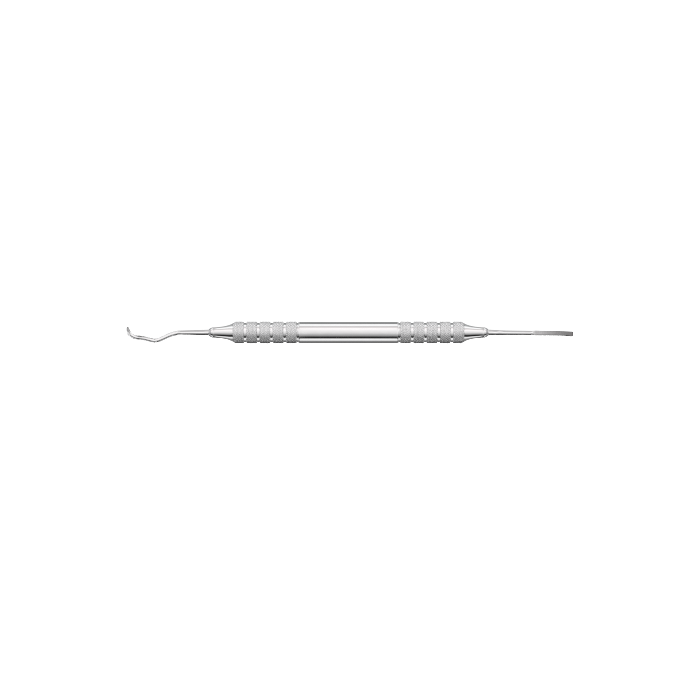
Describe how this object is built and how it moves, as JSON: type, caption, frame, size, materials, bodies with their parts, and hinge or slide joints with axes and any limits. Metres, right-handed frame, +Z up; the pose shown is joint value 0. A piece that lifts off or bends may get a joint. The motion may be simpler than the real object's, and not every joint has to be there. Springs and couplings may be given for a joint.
{
  "type": "dental elevator",
  "caption": "Slim double-ended steel dental elevator: hollow handle with grooved knurled grips, hooked blade on a bent shank at one end, flat straight blade at the other.",
  "frame": {"origin": "centre of the whole instrument's bounding box, on the handle's axis, about 0.5 mm from the handle's middle towards the flat blade", "axes": "+X along the handle's axis from the hooked blade towards the flat blade; +Z up, the side that the hook's point curls to; both blades bend in the XZ plane; +Y is away from the viewer of the side view"},
  "size_m": [0.1692, 0.0082, 0.0082],
  "materials": {
    "polished_steel": "mirror-polished stainless steel with a very fine turned grain",
    "knurled_steel": "satin stainless steel, fine diamond knurl, polished grooves",
    "ground_steel": "polished shank, finely ground blade facets",
    "plain_steel": "plain drawn stainless steel, hidden inside the handle",
    "bush_brass": "turned brass, hidden inside the handle",
    "seal_rubber": "soft silicone, hidden inside the handle"
  },
  "bodies": {
    "root": {"core_tube": "plain_steel", "centre_barrel": "polished_steel", "curved_end_grip_sleeve": "knurled_steel", "chisel_end_grip_sleeve": "knurled_steel", "curved_end_nose_cone": "polished_steel", "chisel_end_nose_cone": "polished_steel", "curved_end_tang_bush": "bush_brass", "chisel_end_tang_bush": "bush_brass", "curved_end_seal_ring": "seal_rubber", "chisel_end_seal_ring": "seal_rubber", "curved_end_cross_pin": "plain_steel", "chisel_end_cross_pin": "plain_steel", "curved_blade_tip": "ground_steel", "chisel_blade_tip": "ground_steel"}
  },
  "joints": []
}
